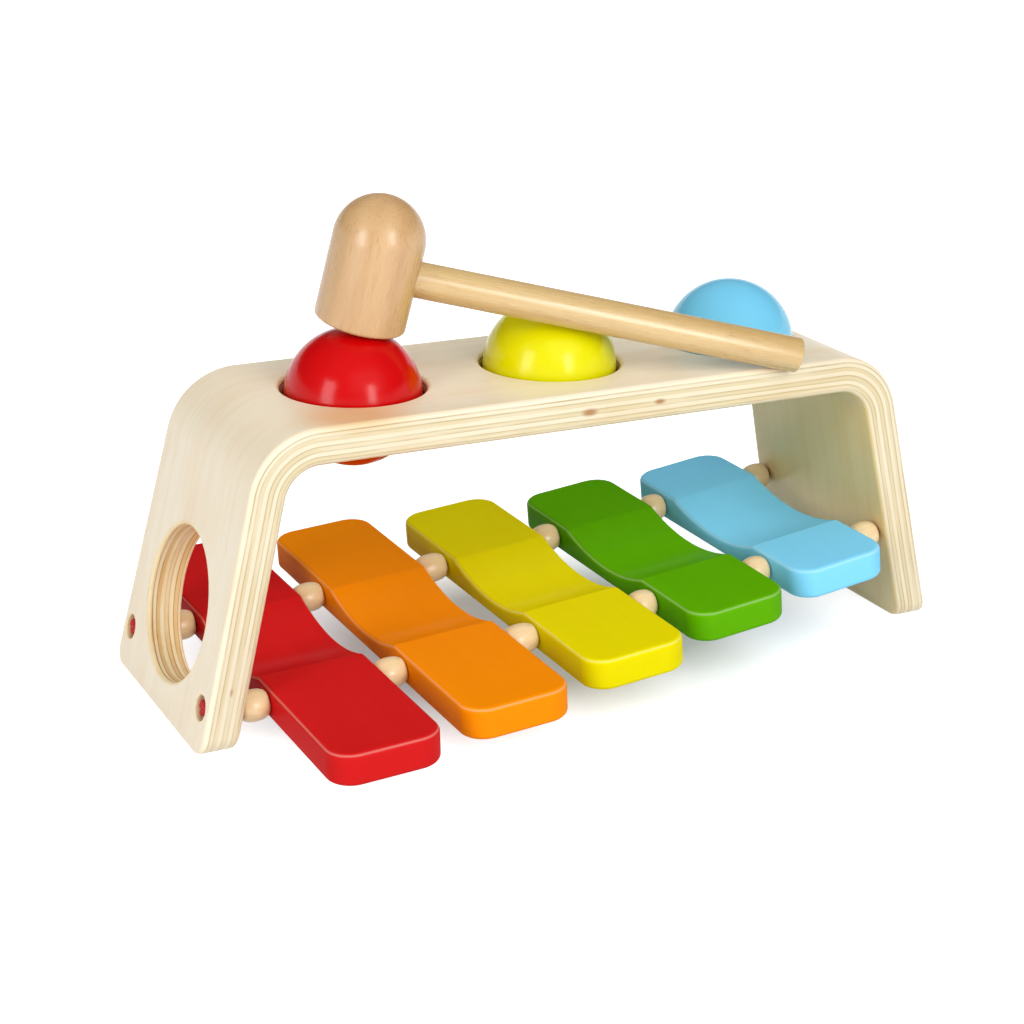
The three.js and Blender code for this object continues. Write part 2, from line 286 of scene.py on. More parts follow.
def strip_ring(outer, inner, inset):
    """Rounded section between an outer and an inner point of the strip, in the XZ plane."""
    thick = (outer - inner).length
    step = (outer - inner) / thick
    ring = []
    for corner, (outside, side) in enumerate(((True, 1), (False, 1), (False, -1), (True, -1))):
        for k in range(arris_steps + 1):
            angle = corner * math.pi / 2 + k * math.pi / (2 * arris_steps)
            centre = thick - arris if outside else arris
            along = centre + (arris - inset) * math.cos(angle)
            place = inner + step * along
            y = side * (half_width(place.y) - arris) + (arris - inset) * math.sin(angle)
            ring.append((place.x, y, place.y))
    return ring


def leg_heights():
    """Heights of the sections: the softened foot edge, the rounded foot corner, the straight leg."""
    heights = [foot_edge * (1 - math.cos(math.pi * k / (2 * edge_steps))) for k in range(edge_steps + 1)]
    rounded = foot_corner - foot_edge
    heights += [foot_edge + rounded * (1 - math.cos(math.pi * k / (2 * foot_steps))) for k in range(1, foot_steps + 1)]
    return heights + [foot_corner + (bend_centre.y - foot_corner) * k / leg_steps for k in range(1, leg_steps)]


def half_strip_rings():
    rings = []
    for z in leg_heights():
        low = max(0.0, foot_edge - z)
        inset = foot_edge - math.sqrt(foot_edge ** 2 - low ** 2)
        outer = Vector((outer_foot - z * math.tan(splay), z))
        rings.append(strip_ring(outer, outer - Vector((leg_run, 0)), inset))
    for k in range(bend_steps + 1):
        angle = splay + bend_sweep * k / bend_steps
        ray = Vector((math.cos(angle), math.sin(angle)))
        rings.append(strip_ring(bend_centre + ray * bend_outer, bend_centre + ray * (bend_outer - ply), 0))
    return rings


def strip_mesh():
    right = half_strip_rings()
    left = [[(-x, y, z) for x, y, z in ring] for ring in right]
    middle = [[(x * f, y, z) for x, y, z in right[-1]] for f in top_stations]
    bm = bmesh.new()
    rings = [[bm.verts.new(point) for point in ring] for ring in left + middle + right[::-1]]
    for low, high in zip(rings, rings[1:]):
        bridge(bm, low, high)
    bm.faces.new(rings[0])
    bm.faces.new(rings[-1])
    return bm


print("sections in half a strip:", len(half_strip_rings()))

# %% [markdown]
# Holes are bored square to the face they go through: three for the balls, one for the exit, and two stepped holes in
# each leg for the cords. Each cutter is a turned piece. The ball and exit cutters open out at both faces and a cord
# cutter at its knot end, so the Boolean leaves a softened rim there. First come the sizes. What a imported piece shows,
# such as a ball's radius, is read from that piece.

# %% Sizes of the holes
ball_names = ("red", "yellow", "blue")
balls = {}
for colour in ball_names:
    low, high = (Vector(corner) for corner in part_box("ball_" + colour))
    balls[colour] = ((low + high) / 2, (high.z - low.z) / 2)
ball_radius = balls["red"][1]
ball_hole = ball_radius + 1.3 * MM
groove_out = ball_radius + 3.65 * MM
groove_half = 1.8 * MM
hole_rim = 1.4 * MM
exit_radius = 25.25 * MM
exit_rise = 35.7 * MM
exit_rim = 1.2 * MM
outward = {side: Vector((side * math.cos(splay), 0, math.sin(splay))) for side in (-1, 1)}
cord_y = abs(joints["bead_front_1_spin"]["pos_m"][1])
cord_mouth_height = {-1: 11 * MM, 1: 32.6 * MM}
cord_hole = 2.2 * MM
knot_hole = 4 * MM
knot_depth = 6.5 * MM
knot_rim = 0.5 * MM
print("ball hole across in mm:", round(2 * ball_hole / MM, 1), "exit hole across in mm:", 2 * exit_radius / MM)

# %% [markdown]
# A drill and a cutter that rounds the rim make these holes in the workshop. Here one profile does both, and reaches a
# little past both faces, so that no thin skin is left. The ball holes also get a groove for a rubber ring.

# %% Cutters for the holes
cutter_past = 3 * MM
rim_steps = 8
knot_rim_steps = 4
wide_segments = 128
cord_segments = 48


def hole_profile(radius, rim, wall=()):
    lower = arc(radius + rim, -ply + rim, rim, 270, 180, rim_steps)
    upper = arc(radius + rim, -rim, rim, 180, 90, rim_steps)
    bottom = [(0, -ply - cutter_past), (radius + rim, -ply - cutter_past)]
    return bottom + lower + list(wall) + upper + [(radius + rim, cutter_past), (0, cutter_past)]


def ball_cutter(colour):
    middle = -ply / 2
    groove = [(ball_hole, middle - groove_half), (groove_out, middle - groove_half),
              (groove_out, middle + groove_half), (ball_hole, middle + groove_half)]
    centre = balls[colour][0]
    place = Matrix.Translation((centre.x, centre.y, bench_height))
    return object_from("cutter_ball", turned_mesh(hole_profile(ball_hole, hole_rim, groove), wide_segments), place)


def exit_cutter():
    mouth = Vector((exit_rise * math.sin(splay) - outer_foot, 0, exit_rise * math.cos(splay)))
    mesh = turned_mesh(hole_profile(exit_radius, exit_rim), wide_segments)
    return object_from("cutter_exit", mesh, aimed(mouth, outward[-1]))


def cord_mouth(side, y, depth=0.0):
    """Point on a cord hole's axis: depth runs outwards from the leg's inner face."""
    z = cord_mouth_height[side]
    x = outer_foot - leg_run - z * math.tan(splay)
    return Vector((side * x, y, z)) + outward[side] * depth


def cord_cutter(side, y):
    profile = [(0, -ply - cutter_past), (cord_hole, -ply - cutter_past), (cord_hole, -knot_depth),
               (knot_hole, -knot_depth)]
    profile += arc(knot_hole + knot_rim, -knot_rim, knot_rim, 180, 90, knot_rim_steps)
    profile += [(knot_hole + knot_rim, cutter_past), (0, cutter_past)]
    place = aimed(cord_mouth(side, y, ply), outward[side])
    return object_from("cutter_cord", turned_mesh(profile, cord_segments), place)


print("left cord mouths in mm:", [[round(v / MM, 1) for v in cord_mouth(-1, y)] for y in (-cord_y, cord_y)])

# %% [markdown]
# The Boolean could stay as a modifier, but the bored mesh is kept as a plain one, so that its points can carry their
# own coordinates. A Boolean leaves slivers and faces with many corners where two curved faces meet. Welding points that
# all but touch, and splitting the large faces, keeps the mesh closed. Weighted normals then keep flat faces flat.

# %% Helpers for boring
seam = 0.002 * MM
most_corners = 4


def bore(piece, cutters):
    """Subtract cutters and keep the result as a plain, closed mesh."""
    for cutter in cutters:
        step = piece.modifiers.new("bore", "BOOLEAN")
        step.operation = "DIFFERENCE"
        step.solver = "EXACT"
        step.material_mode = "TRANSFER"
        step.object = cutter
    bpy.context.view_layer.update()
    depsgraph = bpy.context.evaluated_depsgraph_get()
    mesh = bpy.data.meshes.new_from_object(piece.evaluated_get(depsgraph))
    piece.modifiers.clear()
    piece.data = mesh
    for cutter in cutters:
        bpy.data.objects.remove(cutter)
    clean = bmesh.new()
    clean.from_mesh(mesh)
    bmesh.ops.remove_doubles(clean, verts=clean.verts, dist=seam)
    bmesh.ops.dissolve_degenerate(clean, edges=clean.edges, dist=seam)
    bmesh.ops.triangulate(clean, faces=[f for f in clean.faces if len(f.verts) > most_corners])
    clean.to_mesh(mesh)
    clean.free()
    mesh.shade_smooth()
    mesh.set_sharp_from_angle(angle=CREASE)


def even_shading(piece):
    weighted = piece.modifiers.new("even_shading", "WEIGHTED_NORMAL")
    weighted.keep_sharp = True


print("points closer than", seam / MM, "mm are welded")

# %% [markdown]
# Plywood needs its own coordinates. Each point of the strip gets three numbers: how far it lies along the bent strip,
# how far across, and how deep under the outer face. The layers then follow the bend, and the grain follows the strip.
# They are stored on the mesh as an attribute, which any shader can read.

# %% Coordinates that follow the bend
def strip_coordinates(points):
    x = np.abs(points[:, 0]) - bend_centre.x
    z = points[:, 2] - bend_centre.y
    up_leg = -x * math.sin(splay) + z * math.cos(splay)
    off_leg = x * math.cos(splay) + z * math.sin(splay)
    on_top = x <= 0
    on_leg = ~on_top & (up_leg <= 0)
    angle = np.clip(np.pi / 2 - np.arctan2(z, x), 0, bend_sweep)
    depth = bend_outer - np.where(on_top, z, np.where(on_leg, off_leg, np.hypot(x, z)))
    past_top = np.where(on_leg, mid_radius * bend_sweep - up_leg, mid_radius * angle)
    run = bend_centre.x + np.where(on_top, x, past_top)
    return np.stack([run * np.sign(points[:, 0]), points[:, 1], depth], axis=1)


def store_vector(piece, name, values):
    attribute = piece.data.attributes.new(name, "FLOAT_VECTOR", "POINT")
    attribute.data.foreach_set("vector", np.asarray(values, np.float32).ravel())


def vertices_of(piece):
    points = np.empty(3 * len(piece.data.vertices), np.float32)
    piece.data.vertices.foreach_get("co", points)
    return points.reshape(-1, 3).astype(float)


foot_point = np.array([[outer_foot, 0, 0]])
print("right foot in strip coordinates, mm:", np.round(strip_coordinates(foot_point)[0] / MM, 1).tolist())

# %% [markdown]
# The layer pattern is a colour ramp over the depth: pale birch layers whose grain runs along the cut, tan ones that
# show end grain, and thin dark glue lines between them. On a real edge the lines come and go, so noise wears them away
# in places. A few small knots sit in the front edge. In front of the red ball the veneer carries a patch of painted red
# light, as if thrown by the ball.

# %% Layers, knots and painted red light
layers = ((0.0, "face"), (0.10, "face"), (0.12, "line"), (0.14, "line"), (0.16, "pale"), (0.23, "pale"),
          (0.25, "line"), (0.28, "tan"), (0.35, "tan"), (0.38, "pale"), (0.46, "pale"), (0.48, "line"),
          (0.51, "tan"), (0.58, "tan"), (0.61, "line"), (0.63, "pale"), (0.72, "pale"), (0.74, "line"),
          (0.77, "tan"), (0.84, "tan"), (0.86, "line"), (0.89, "pale"), (0.94, "pale"), (0.97, "inside"))
cut_edge = [(0.06, BLACK), (0.11, WHITE), (0.92, WHITE), (0.96, BLACK)]
edge_knots = ((-3.2 * MM, 6.5 * MM, 4.2 * MM), (23 * MM, 6 * MM, 3 * MM), (-181.5 * MM, 6 * MM, 2.4 * MM))
# Oval of painted red light on the veneer in front of the red ball: centre and radii in strip coordinates.
painted_red_light_spot = (-82 * MM, -30 * MM, 0), (24 * MM, 19 * MM, 6 * MM)


def spot_mask(tree, strip, centre, radii):
    """One inside an oval spot of the wood, zero outside."""
    away = node(tree, "ShaderNodeVectorMath", {0: strip, 1: centre}, operation="SUBTRACT").outputs[0]
    shrink = [1 / radius for radius in radii]
    squeezed = node(tree, "ShaderNodeVectorMath", {0: away, 1: shrink}, operation="MULTIPLY").outputs[0]
    size = node(tree, "ShaderNodeVectorMath", {0: squeezed}, operation="LENGTH").outputs["Value"]
    return soft_step(tree, size, 1.0, 0.2)


def layered_colour(tree, strip, tones):
    """Layers over the depth, a little wavy, with glue lines that break up."""
    depth = node(tree, "ShaderNodeSeparateXYZ", {"Vector": strip}).outputs["Z"]
    wave = spread(tree, stretched_noise(tree, strip, (14, 30, 260), 3), -0.04, 0.04)
    layer = calculated(tree, "ADD", scaled(tree, depth, 1 / ply), wave)
    colour = ramp(tree, layer, [(edge, tones[tone]) for edge, tone in layers])
    broken = soft_step(tree, stretched_noise(tree, strip, (24, 24, 420), 4, 0.65), 0.44, 0.62)
    worn = calculated(tree, "MULTIPLY", ramp(tree, layer, cut_edge), scaled(tree, broken, 0.6))
    return mixed(tree, worn, colour, tones["pale"])


print("layer edges:", len(layers), "knots:", len(edge_knots))

# %% [markdown]
# On the flat faces only the outer layer is seen, with soft pink clouds, long streaks of figure and fine dark flecks,
# each a noise drawn out along the strip. The bored walls use the same recipe in a deeper, toasted tone: partly because
# end grain drinks in more lacquer, and partly as painted shade inside the holes. Two materials are simpler here than
# one with a mask.

# %% Plywood finish
def plywood(name, tones, roughness):
    material, tree, shader = finish_tree(name)
    strip = node(tree, "ShaderNodeAttribute", attribute_name="strip").outputs["Vector"]
    colour = layered_colour(tree, strip, tones)
    cloud = soft_step(tree, stretched_noise(tree, strip, (17, 40, 40), 3), 0.42, 0.68)
    colour = mixed(tree, scaled(tree, cloud, 0.7), colour, tones["pink"], "MULTIPLY")
    figure = soft_step(tree, stretched_noise(tree, strip, (5, 150, 300), 5, 0.6), 0.45, 0.72)
    colour = mixed(tree, scaled(tree, figure, 0.5), colour, tones["streak"], "MULTIPLY")
    fibre = soft_step(tree, stretched_noise(tree, strip, (60, 800, 2600), 3, 0.65), 0.5, 0.75)
    colour = mixed(tree, scaled(tree, fibre, 0.22), colour, tones["fleck"])
    for run, depth, radius in edge_knots:
        spot = spot_mask(tree, strip, (run, -top_half, depth), (radius, radius / 0.3, radius / 2.4))
        colour = mixed(tree, scaled(tree, spot, 0.85), colour, tones["knot"])
    # Painted red light: the veneer in front of the red ball is tinted as if lit by the ball.
    colour = mixed(tree, spot_mask(tree, strip, *painted_red_light_spot), colour, tones["painted_red_light"], "MULTIPLY")
    grain = stretched_noise(tree, strip, (30, 900, 900), 3, 0.6)
    feed(tree, shader, {"Base Color": colour,
                        "Roughness": spread(tree, grain, roughness - 0.06, roughness + 0.08),
                        "Normal": bump(tree, grain, 0.03 * MM, 0.12)})
    return material


# The knot tone is the wood's own colour; the reddish tone is painted light from the red ball.
shared_tones = {"knot": linear(158, 100, 46), "painted_red_light": linear(247, 222, 190)}
ply_finish = plywood("birch_plywood", {
    "face": linear(239, 226, 200), "line": linear(182, 162, 118), "pale": linear(223, 214, 188),
    "tan": linear(211, 197, 159), "inside": linear(226, 204, 148), "pink": linear(252, 243, 233),
    "streak": linear(247, 237, 222), "fleck": linear(206, 184, 144), **shared_tones}, 0.32)
# Bored walls: the end grain's deeper tone together with painted shade inside the holes.
bored_wall_finish_and_shade = plywood("birch_bored_wall_shaded", {
    "face": linear(240, 222, 180), "line": linear(186, 138, 76), "pale": linear(243, 228, 188),
    "tan": linear(226, 194, 136), "inside": linear(241, 224, 184), "pink": linear(250, 240, 226),
    "streak": linear(244, 228, 200), "fleck": linear(192, 148, 90), **shared_tones}, 0.4)
print("plywood finishes:", ply_finish.name, bored_wall_finish_and_shade.name)

# %% [markdown]
# Now the bench itself. The cutters carry the finish and painted shade of the bored walls, and the Boolean hands it on
# to the faces they leave. The strip coordinates are stored after boring, because boring makes new points.

# %% Bench
bench = object_from("plywood_bench", strip_mesh())
bench.data.materials.append(ply_finish)
cutters = [ball_cutter(colour) for colour in ball_names] + [exit_cutter()]
cutters += [cord_cutter(side, y) for side in (-1, 1) for y in (-cord_y, cord_y)]
for cutter in cutters:
    cutter.data.materials.append(bored_wall_finish_and_shade)
bore(bench, cutters)
store_vector(bench, "strip", strip_coordinates(vertices_of(bench)))
even_shading(bench)
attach(bench, "bench")
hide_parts("frame")
print("bench faces:", len(bench.data.polygons), "finishes:", [m.name for m in bench.data.materials])

# %% [markdown]
# The balls are turned from wood and dipped in gloss paint. A ball of paint is never quite a perfect sphere: the lathe
# leaves a small flat at each pole and the paint lies in very shallow waves. The poles point sideways, as they would
# after a ball has rolled into its hole. A clear coat could be laid over the paint, but a smooth base with a low
# reflection shows the two lamps and keeps the colour deep.

# %% Balls
pole_flat = 2.2 * MM
pole_sink = 0.04 * MM
ball_steps = 72
ball_segments = 112


def gloss_paint(name, colour, shade):
    material, tree, shader = finish_tree(name)
    place = object_place(tree)
    cloud = stretched_noise(tree, place, (60, 60, 60), 3)
    orange_peel = stretched_noise(tree, place, (420, 420, 420), 2)
    feed(tree, shader, {"Base Color": mixed(tree, spread(tree, cloud, 0.0, 0.35), colour, shade),
                        "Roughness": spread(tree, orange_peel, 0.16, 0.24),
                        "Normal": bump(tree, orange_peel, 0.01 * MM, 0.06),
                        "Specular IOR Level": 0.27})
    return material


ball_paints = {
    "red": gloss_paint("gloss_red", linear(198, 0, 4), linear(184, 0, 2)),
    "yellow": gloss_paint("gloss_yellow", linear(218, 215, 0), linear(210, 203, 0)),
    "blue": gloss_paint("gloss_blue", linear(114, 195, 227), linear(101, 185, 221)),
}


def ball_profile(radius):
    tip = math.degrees(math.asin(pole_flat / radius))
    curve = arc(0, 0, radius, -90 + tip, 90 - tip, ball_steps)
    return [(0, curve[0][1] + pole_sink)] + curve + [(0, curve[-1][1] - pole_sink)]


for number, colour in enumerate(ball_names):
    centre, radius = balls[colour]
    pole = Vector((0.5 + 0.3 * number, 0.84, 0.1 - 0.2 * number)).normalized()
    ball = object_from("painted_ball_" + colour, turned_mesh(ball_profile(radius), ball_segments), aimed(centre, pole))
    ball.data.materials.append(ball_paints[colour])
    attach(ball, "ball_" + colour)
    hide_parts("ball_" + colour)
    print(colour, "ball at", [round(v / MM, 1) for v in centre], "radius", round(radius / MM, 2))

# %% [markdown]
# A rubber ring in each hole grips the ball until it is pounded through. It hides in its groove and shows only as a
# dark line round the ball. A torus from the Add menu would do; here it is turned like the other round pieces, from a
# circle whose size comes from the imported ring.

# %% Grip rings
ring_steps = 24
ring_segments = 96


def rubber():
    material, tree, shader = finish_tree("grip_rubber")
    dust = stretched_noise(tree, object_place(tree), (500, 500, 500), 4)
    feed(tree, shader, {"Base Color": mixed(tree, dust, linear(38, 34, 32), linear(62, 56, 52)),
                        "Roughness": spread(tree, dust, 0.6, 0.85),
                        "Normal": bump(tree, dust, 0.05 * MM, 0.3)})
    return material


rubber_finish = rubber()
for colour in ball_names:
    low, high = (Vector(corner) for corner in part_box("grip_ring_" + colour))
    half = (high.z - low.z) / 2
    outer = (high.y - low.y) / 2
    turns = np.linspace(0, 2 * math.pi, ring_steps, False)
    section = turned_mesh([(outer - half + half * math.cos(a), half * math.sin(a)) for a in turns], ring_segments, True)
    ring = object_from("rubber_ring_" + colour, section, Matrix.Translation((low + high) / 2))
    ring.data.materials.append(rubber_finish)
    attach(ring, "bench")
    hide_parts("grip_ring_" + colour)
print("grip rings:", len(ball_names))

# %% [markdown]
# Each tone bar is a flat stick with rounded corners, softened edges and a shallow scoop across the middle in which the
# balls roll. A cube with a Bevel modifier has trouble where the edge runs down into the scoop. So the bar is built from
# plan outlines laid on top of each other: they draw in towards both faces for the softened edge, and the upper ones dip
# along the scoop.

# %% Shape of the tone bars
bar_names = ("red", "orange", "yellow", "green", "blue")
bar_width = 36.8 * MM
bar_thick = 10.8 * MM
bar_corner = 8.6 * MM
bar_edge = 1.7 * MM
scoop_half = 27 * MM
scoop_depth = 5 * MM
scoop_radius = (scoop_half ** 2 + scoop_depth ** 2) / (2 * scoop_depth)
corner_steps = 12
scoop_steps = 16
rounding_steps = 6


def scoop_drop(y):
    if abs(y) >= scoop_half:
        return 0.0
    return math.sqrt(scoop_radius ** 2 - y ** 2) - (scoop_radius - scoop_depth)


def bar_outline(length, offset):
    """Right half of the plan drawn in by an offset, from one end to the other, as (x, y) points."""
    middle_x, middle_y = bar_width / 2 - bar_corner, length / 2 - bar_corner
    radius = bar_corner - offset
    turn = [math.pi / 2 * (1 - k / corner_steps) for k in range(corner_steps + 1)]
    ahead = [(middle_x + radius * math.cos(a), middle_y + radius * math.sin(a)) for a in turn]
    ahead += [(bar_width / 2 - offset, scoop_half * (1 - k / scoop_steps)) for k in range(scoop_steps + 1)]
    return ahead + [(x, -y) for x, y in ahead[-2::-1]]


def bar_mesh(length):
    bm = bmesh.new()
    rounding = [math.pi / 2 * k / rounding_steps for k in range(rounding_steps + 1)]
    rings = []
    for upper, angle in [(False, a) for a in rounding[::-1]] + [(True, a) for a in rounding]:
        right = bar_outline(length, bar_edge * (1 - math.cos(angle)))
        level = bar_thick / 2 - bar_edge * (1 - math.sin(angle))
        outline = right + [(-x, y) for x, y in right[::-1]]
        rings.append([bm.verts.new((x, y, level - scoop_drop(y) if upper else -level)) for x, y in outline])
    for low, high in zip(rings, rings[1:]):
        bridge(bm, low, high)
    for ring in (rings[0], rings[-1]):
        for k in range(len(ring) // 2 - 1):
            bm.faces.new((ring[k], ring[k + 1], ring[-k - 2], ring[-k - 1]))
    return bm


print("scoop radius in mm:", round(scoop_radius / MM, 1))

# %% [markdown]
# The bars have a satin paint, brushed along their length. The rounded edges get a painted highlight: a lighter tone
# where the surface slopes up, standing in for the lamps' reflection along them. The surface's own direction tells where
# they are, and no mask has to be painted. All reflection comes from a thin coat, because a full one would lay a white
# veil over the strong colours.

# %% Bar paint
# Slopes of the rounded edges that get a painted highlight, read from the surface's upward direction.
painted_highlight_band = [(0.42, BLACK), (0.6, WHITE), (0.72, WHITE), (0.86, BLACK)]
highlight_white = linear(255, 244, 224)


def satin_paint(name, colour, shade):
    material, tree, shader = finish_tree(name)
    coordinates = node(tree, "ShaderNodeTexCoord")
    place = coordinates.outputs["Object"]
    brushed = stretched_noise(tree, place, (240, 9, 240), 4)
    painted = mixed(tree, spread(tree, brushed, 0.0, 0.5), colour, shade)
    upright = node(tree, "ShaderNodeSeparateXYZ", {"Vector": coordinates.outputs["Normal"]}).outputs["Z"]
    # Painted highlight: the edge colour is mixed towards white, as a lamp's reflection would light it.
    highlit_paint = mixed(tree, 0.15, painted, highlight_white)
    pores = stretched_noise(tree, place, (1100, 40, 1100), 3)
    feed(tree, shader, {"Base Color": mixed(tree, ramp(tree, upright, painted_highlight_band), painted, highlit_paint),
                        "Roughness": spread(tree, pores, 0.16, 0.25),
                        "Normal": bump(tree, pores, 0.03 * MM, 0.2),
                        "Specular IOR Level": 0.0, "Coat Weight": 0.1, "Coat Roughness": 0.22})
    return material


bar_paints = {
    "red": satin_paint("satin_red", linear(203, 28, 28), linear(190, 18, 22)),
    "orange": satin_paint("satin_orange", linear(241, 140, 4), linear(232, 126, 0)),
    "yellow": satin_paint("satin_yellow", linear(224, 212, 0), linear(216, 200, 0)),
    "green": satin_paint("satin_green", linear(90, 168, 0), linear(82, 156, 0)),
    "blue": satin_paint("satin_blue", linear(130, 211, 246), linear(118, 202, 242)),
}
print("bar paints:", [paint.name for paint in bar_paints.values()])

# %% [markdown]
# The bars hang on two cords that slope down to the left, so each bar leans. Its upward direction is the one it bounces
# along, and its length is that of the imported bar. The two cord holes are bored sideways through each bar, wide enough
# for the cord to slant.

# %% Tone bars
bar_bore = 2.9 * MM
bar_segments = 40


def bar_matrix(colour):
    low, high = (Vector(corner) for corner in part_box("bar_" + colour))
    up = Vector(joints[f"bar_{colour}_bounce"]["axis"]).normalized()
    along = Vector((0, 1, 0))
    turn = Matrix((along.cross(up), along, up)).transposed().to_4x4()
    return Matrix.Translation((low + high) / 2) @ turn


def bar_bores(place):
    sideways = place @ Matrix.Rotation(math.pi / 2, 4, "Y")
    rod = [(0, -bar_width), (bar_bore, -bar_width), (bar_bore, bar_width), (0, bar_width)]
    rods = []
    for y in (-cord_y, cord_y):
        rods.append(object_from("cutter_rod", turned_mesh(rod, bar_segments), sideways @ Matrix.Translation((0, y, 0))))
    return rods


for colour in bar_names:
    low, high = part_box("bar_" + colour)
    length = high[1] - low[1]
    place = bar_matrix(colour)
    bar = object_from("tone_bar_" + colour, bar_mesh(length), place)
    rods = bar_bores(place)
    for painted in (bar, *rods):
        painted.data.materials.append(bar_paints[colour])
    bore(bar, rods)
    even_shading(bar)
    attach(bar, "bar_" + colour)
    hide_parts("bar_" + colour)
    print(colour, "bar length in mm:", round(length / MM, 1))

# %% [markdown]
# Turned hardwood, used for the beads and the mallet, has its grain along the axis it was turned on. An image of wood
# would need to be unwrapped on every piece. Noise drawn out along that axis needs no unwrapping: a broad one gives the
# figure, a fine one the pores, and short dark flecks lie between them.

# %% Turned wood finish
figure_band = [(0.35, BLACK), (0.68, WHITE)]
fleck_band = [(0.6, BLACK), (0.72, WHITE)]


def turned_wood(name, light, dark, fleck, roughness):
    material, tree, shader = finish_tree(name)
    place = object_place(tree)
    figure = ramp(tree, stretched_noise(tree, place, (130, 130, 12), 5, 0.6), figure_band)
    colour = mixed(tree, figure, light, dark)
    flecks = ramp(tree, stretched_noise(tree, place, (900, 900, 130), 2, 0.6), fleck_band)
    colour = mixed(tree, flecks, colour, mixed(tree, 0.32, colour, fleck))
    pores = stretched_noise(tree, place, (1400, 1400, 90), 3)
    feed(tree, shader, {"Base Color": colour,
                        "Roughness": spread(tree, pores, roughness - 0.06, roughness + 0.1),
                        "Normal": bump(tree, pores, 0.04 * MM, 0.3),
                        "Specular IOR Level": 0.8})
    return material


bead_finish = turned_wood("bead_maple", linear(236, 213, 170), linear(222, 190, 138), linear(190, 148, 96), 0.28)
head_finish = turned_wood("mallet_beech", linear(202, 164, 116), linear(187, 146, 98), linear(156, 110, 66), 0.27)
handle_finish = turned_wood("handle_beech", linear(206, 176, 123), linear(191, 157, 101), linear(166, 126, 76), 0.24)
print("turned woods:", [wood.name for wood in (bead_finish, head_finish, handle_finish)])

# %% [markdown]
# The beads keep the bars apart and let them ring. Each is a short barrel, bored for the cord, and it spins on its own
# hinge, so its axis and middle come from that hinge. One bead could be copied twelve times, but the gaps differ a
# little, so each takes its length from its own packed bead.

# %% Beads
bead_count = 6
bead_radius = 5.15 * MM
bead_bore = 2.1 * MM
bead_flat = 3.3 * MM
bore_break = 0.3 * MM
barrel_points = 25
bead_segments = 48


def bead_profile(length):
    half = length / 2
    swell = bead_radius - bead_flat
    turns = np.linspace(-math.pi / 2, math.pi / 2, barrel_points)
    barrel = [(bead_flat + swell * math.cos(a), half * math.sin(a)) for a in turns]
    mouth = bead_bore + bore_break
    return [(bead_bore, half - bore_break), (bead_bore, -half + bore_break), (mouth, -half)] + barrel + [(mouth, half)]


def bead_length(name):
    """Length along the hinge, from the CAD bead's own points."""
    axis = np.array(joints[name + "_spin"]["axis"])
    along = vertices_of(frame["nodes"][name]) @ axis
    return float(along.max() - along.min())


for side in ("front", "back"):
    for number in range(1, bead_count + 1):
        name = f"bead_{side}_{number}"
        hinge = joints[name + "_spin"]
        barrel = turned_mesh(bead_profile(bead_length(name)), bead_segments, closed=True)
        bead = object_from("turned_" + name, barrel, aimed(hinge["pos_m"], hinge["axis"]))
        bead.data.materials.append(bead_finish)
        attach(bead, name)
        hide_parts(name)
print("beads:", 2 * bead_count)

# %% [markdown]
# Two red cords carry the bars. A cord is three strands laid together. A plain tube with a twisted bump would look right
# from afar, but the ends show close by in the leg, so three curves wind about one path, each with a round bevel. The
# path goes through the leg, sags along the beads and goes into the other leg.

# %% Strands of a cord
strand_count = 3
strand_radius = 0.72 * MM
strand_offset = 0.76 * MM
lay_length = 9 * MM
across = Vector((0, 1, 0))


def cord_finish():
    material, tree, shader = finish_tree("red_cord")
    fibre = stretched_noise(tree, object_place(tree), (1500, 1500, 1500), 3)
    feed(tree, shader, {"Base Color": mixed(tree, fibre, linear(206, 40, 36), linear(168, 20, 26)),
                        "Roughness": spread(tree, fibre, 0.6, 0.85),
                        "Normal": bump(tree, fibre, 0.1 * MM, 0.5)})
    return material


def smooth_path(points, per_span):
    """Points of a smooth curve through the given ones."""
    padded = [2 * points[0] - points[1]] + points + [2 * points[-1] - points[-2]]
    path = []
    for p0, p1, p2, p3 in zip(padded, padded[1:], padded[2:], padded[3:]):
        for k in range(per_span):
            t = k / per_span
            path.append(0.5 * ((2 * p1) + (p2 - p0) * t + (2 * p0 - 5 * p1 + 4 * p2 - p3) * t ** 2
                               + (3 * p1 - p0 - 3 * p2 + p3) * t ** 3))
    return path + [points[-1]]


def laid_strand(path, strand):
    """Points of one strand, winding about the path."""
    travelled = 0.0
    points = []
    for k, here in enumerate(path):
        ahead = (path[min(k + 1, len(path) - 1)] - path[max(k - 1, 0)]).normalized()
        travelled += (here - path[k - 1]).length if k else 0.0
        turn = 2 * math.pi * (travelled / lay_length + strand / strand_count)
        upward = ahead.cross(across).normalized()
        points.append(here + (across * math.cos(turn) + upward * math.sin(turn)) * strand_offset)
    return points


def add_strand(curve, points, radius):
    spline = curve.splines.new("POLY")
    spline.points.add(len(points) - 1)
    for slot_point, point in zip(spline.points, points):
        slot_point.co = (*point, 1)
        slot_point.radius = radius / strand_radius


print("cord thickness in mm:", round(2 * (strand_offset + strand_radius) / MM, 2))

# %% [markdown]
# A tight overhand knot sits in the sunk hole at each end of a cord. A trefoil curve is just such a knot with its ends
# joined, and a short formula draws it. Strands and knots go into one curve object, so that a cord stays one piece.

# %% Cords and knots
knot_sink = 9.8 * MM
knot_size = 0.62 * MM
knot_strand = 1.15 * MM
knot_steps = 72
path_steps = 24


def knot_points(centre, out):
    """Overhand knot: a small trefoil drawn about the hole's axis."""
    place = aimed(centre, out)
    points = []
    for t in np.linspace(0, 2 * math.pi, knot_steps + 1):
        x = math.sin(t) + 2 * math.sin(2 * t)
        y = math.cos(t) - 2 * math.cos(2 * t)
        points.append(place @ (Vector((x, y, -1.5 * math.sin(3 * t))) * knot_size))
    return points


